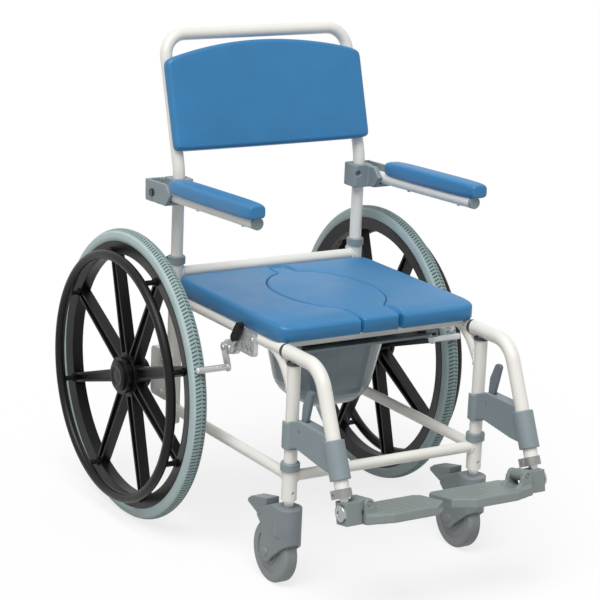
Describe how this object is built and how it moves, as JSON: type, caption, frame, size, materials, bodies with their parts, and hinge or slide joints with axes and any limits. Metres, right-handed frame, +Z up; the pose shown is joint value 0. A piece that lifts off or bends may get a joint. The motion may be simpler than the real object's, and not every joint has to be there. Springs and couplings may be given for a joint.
{
  "type": "shower commode chair",
  "caption": "Self-propelled shower commode chair: tube frame, foam seat with lift-out infill over a slide-out pan, flip-up arms, swing-away legrests, spoked wheels and castors.",
  "frame": {"origin": "on the floor under the middle of the bounding box", "axes": "+X across the chair, to the left hand of the sitter, who faces -Y; +Y towards the back; +Z up"},
  "size_m": [0.707, 1.0535, 1.0065],
  "materials": {
    "frame_white": "gloss powder coat",
    "blue_foam": "soft moulded skin",
    "grey_moulding": "fine satin grain",
    "black_moulding": "satin",
    "cast_alloy": "tumbled",
    "zinc_steel": "zinc plate",
    "chrome_rod": "polished",
    "grey_tyre": "matt",
    "castor_grey": "matt",
    "black_rubber": "matt",
    "pan_plastic": "semi-gloss"
  },
  "bodies": {
    "frame": {"front_legs": "frame_white", "rear_legs": "frame_white", "seat_rails": "frame_white", "seat_cross_members": "frame_white", "base_frame": "frame_white", "frame_collars": "grey_moulding", "legrest_bushes": "black_rubber", "pan_runners": "grey_moulding", "axle_brackets": "cast_alloy", "axles_and_stems": "zinc_steel", "brake_brackets": "cast_alloy", "seat_pad": "blue_foam"},
    "backrest": {"back_frame": "frame_white", "backrest_pad": "blue_foam", "arm_brackets": "grey_moulding", "arm_pivots": "zinc_steel"},
    "infill": {"seat_infill": "blue_foam"},
    "pan": {"commode_pan": "pan_plastic"},
    "left_knob": {"left_back_knob": "black_moulding"},
    "left_armrest": {"left_arm_tube": "frame_white", "left_arm_pad": "blue_foam", "left_arm_cap": "grey_moulding"},
    "left_drive_wheel": {"left_wheel": "black_moulding", "left_tyre": "grey_tyre", "left_handrim": "black_moulding", "left_wheel_bearings": "zinc_steel"},
    "left_castor": {"left_castor_fork": "grey_moulding"},
    "left_castor_roller": {"left_castor_wheel": "castor_grey"},
    "left_castor_brake": {"left_castor_pedal": "grey_moulding"},
    "left_brake_handle": {"left_brake_lever": "cast_alloy", "left_brake_grip": "black_rubber"},
    "left_brake_arm": {"left_brake_shoe": "cast_alloy"},
    "left_legrest": {"left_hanger": "frame_white", "left_hanger_bracket": "grey_moulding", "left_stem_clamp": "zinc_steel"},
    "left_latch": {"left_latch_lever": "grey_moulding"},
    "left_footrest": {"left_foot_stem": "chrome_rod", "left_foot_block": "grey_moulding"},
    "left_plate": {"left_footplate": "grey_moulding"},
    "right_knob": {"right_back_knob": "black_moulding"},
    "right_armrest": {"right_arm_tube": "frame_white", "right_arm_pad": "blue_foam", "right_arm_cap": "grey_moulding"},
    "right_drive_wheel": {"right_wheel": "black_moulding", "right_tyre": "grey_tyre", "right_handrim": "black_moulding", "right_wheel_bearings": "zinc_steel"},
    "right_castor": {"right_castor_fork": "grey_moulding"},
    "right_castor_roller": {"right_castor_wheel": "castor_grey"},
    "right_castor_brake": {"right_castor_pedal": "grey_moulding"},
    "right_brake_handle": {"right_brake_lever": "cast_alloy", "right_brake_grip": "black_rubber"},
    "right_brake_arm": {"right_brake_shoe": "cast_alloy"},
    "right_legrest": {"right_hanger": "frame_white", "right_hanger_bracket": "grey_moulding", "right_stem_clamp": "zinc_steel"},
    "right_latch": {"right_latch_lever": "grey_moulding"},
    "right_footrest": {"right_foot_stem": "chrome_rod", "right_foot_block": "grey_moulding"},
    "right_plate": {"right_footplate": "grey_moulding"}
  },
  "joints": [
    {"name": "back_lift", "type": "slide", "parent": "frame", "child": "backrest", "axis": [0, 0, 1], "range_m": [0, 0.09]},
    {"name": "infill_lift", "type": "slide", "parent": "frame", "child": "infill", "axis": [0, 0, 1], "range_m": [0, 0.1]},
    {"name": "pan_slide", "type": "slide", "parent": "frame", "child": "pan", "axis": [0, 1, 0], "range_m": [0, 0.34]},
    {"name": "left_knob_turn", "type": "hinge", "parent": "frame", "child": "left_knob", "pos_m": [-0.217, 0.19679, 0.524], "axis": [0, 1, 0], "continuous": true},
    {"name": "left_arm_flip", "type": "hinge", "parent": "backrest", "child": "left_armrest", "pos_m": [-0.251, 0.20879, 0.687], "axis": [-1, 0, 0], "range_deg": [0, 90]},
    {"name": "left_wheel_roll", "type": "hinge", "parent": "frame", "child": "left_drive_wheel", "pos_m": [-0.301, 0.22479, 0.302], "axis": [1, 0, 0], "continuous": true},
    {"name": "left_castor_swivel", "type": "hinge", "parent": "frame", "child": "left_castor", "pos_m": [-0.217, -0.27521, 0.166], "axis": [0, 0, 1], "continuous": true},
    {"name": "left_castor_roll", "type": "hinge", "parent": "left_castor", "child": "left_castor_roller", "pos_m": [-0.217, -0.23321, 0.0625], "axis": [1, 0, 0], "continuous": true},
    {"name": "left_castor_pedal_tilt", "type": "hinge", "parent": "left_castor", "child": "left_castor_brake", "pos_m": [-0.217, -0.20521, 0.134], "axis": [-1, 0, 0], "range_deg": [0, 14]},
    {"name": "left_brake_release", "type": "hinge", "parent": "frame", "child": "left_brake_handle", "pos_m": [-0.2403, -0.07681, 0.43337], "axis": [-1, 0, 0], "range_deg": [0, 50]},
    {"name": "left_brake_shoe_swing", "type": "hinge", "parent": "frame", "child": "left_brake_arm", "pos_m": [-0.2403, -0.05281, 0.42837], "axis": [-1, 0, 0], "range_deg": [0, 22.73]},
    {"name": "left_legrest_swing", "type": "hinge", "parent": "frame", "child": "left_legrest", "pos_m": [-0.217, -0.27521, 0.4687], "axis": [0, 0, -1], "range_deg": [0, 90]},
    {"name": "left_latch_pull", "type": "hinge", "parent": "left_legrest", "child": "left_latch", "pos_m": [-0.217, -0.31921, 0.332], "axis": [-1, 0, 0], "range_deg": [0, 15]},
    {"name": "left_footrest_drop", "type": "slide", "parent": "left_legrest", "child": "left_footrest", "axis": [0, -0.4067, -0.9135], "range_m": [0, 0.06]},
    {"name": "left_plate_flip", "type": "hinge", "parent": "left_footrest", "child": "left_plate", "pos_m": [-0.181, -0.47292, 0.23536], "axis": [0, -0.9848, 0.1736], "range_deg": [0, 85]},
    {"name": "right_knob_turn", "type": "hinge", "parent": "frame", "child": "right_knob", "pos_m": [0.217, 0.19679, 0.524], "axis": [0, 1, 0], "continuous": true},
    {"name": "right_arm_flip", "type": "hinge", "parent": "backrest", "child": "right_armrest", "pos_m": [0.251, 0.20879, 0.687], "axis": [-1, 0, 0], "range_deg": [0, 90]},
    {"name": "right_wheel_roll", "type": "hinge", "parent": "frame", "child": "right_drive_wheel", "pos_m": [0.301, 0.22479, 0.302], "axis": [1, 0, 0], "continuous": true},
    {"name": "right_castor_swivel", "type": "hinge", "parent": "frame", "child": "right_castor", "pos_m": [0.217, -0.27521, 0.166], "axis": [0, 0, 1], "continuous": true},
    {"name": "right_castor_roll", "type": "hinge", "parent": "right_castor", "child": "right_castor_roller", "pos_m": [0.217, -0.23321, 0.0625], "axis": [1, 0, 0], "continuous": true},
    {"name": "right_castor_pedal_tilt", "type": "hinge", "parent": "right_castor", "child": "right_castor_brake", "pos_m": [0.217, -0.20521, 0.134], "axis": [-1, 0, 0], "range_deg": [0, 14]},
    {"name": "right_brake_release", "type": "hinge", "parent": "frame", "child": "right_brake_handle", "pos_m": [0.2403, -0.07681, 0.43337], "axis": [-1, 0, 0], "range_deg": [0, 50]},
    {"name": "right_brake_shoe_swing", "type": "hinge", "parent": "frame", "child": "right_brake_arm", "pos_m": [0.2403, -0.05281, 0.42837], "axis": [-1, 0, 0], "range_deg": [0, 22.73]},
    {"name": "right_legrest_swing", "type": "hinge", "parent": "frame", "child": "right_legrest", "pos_m": [0.217, -0.27521, 0.4687], "axis": [0, 0, 1], "range_deg": [0, 90]},
    {"name": "right_latch_pull", "type": "hinge", "parent": "right_legrest", "child": "right_latch", "pos_m": [0.217, -0.31921, 0.332], "axis": [-1, 0, 0], "range_deg": [0, 15]},
    {"name": "right_footrest_drop", "type": "slide", "parent": "right_legrest", "child": "right_footrest", "axis": [0, -0.4067, -0.9135], "range_m": [0, 0.06]},
    {"name": "right_plate_flip", "type": "hinge", "parent": "right_footrest", "child": "right_plate", "pos_m": [0.181, -0.47292, 0.23536], "axis": [0, 0.9848, -0.1736], "range_deg": [0, 85]}
  ],
  "couplings": [
    {"joint": "left_brake_shoe_swing", "follows": "left_brake_release", "ratio": 0.45454},
    {"joint": "right_brake_shoe_swing", "follows": "right_brake_release", "ratio": 0.45454}
  ]
}
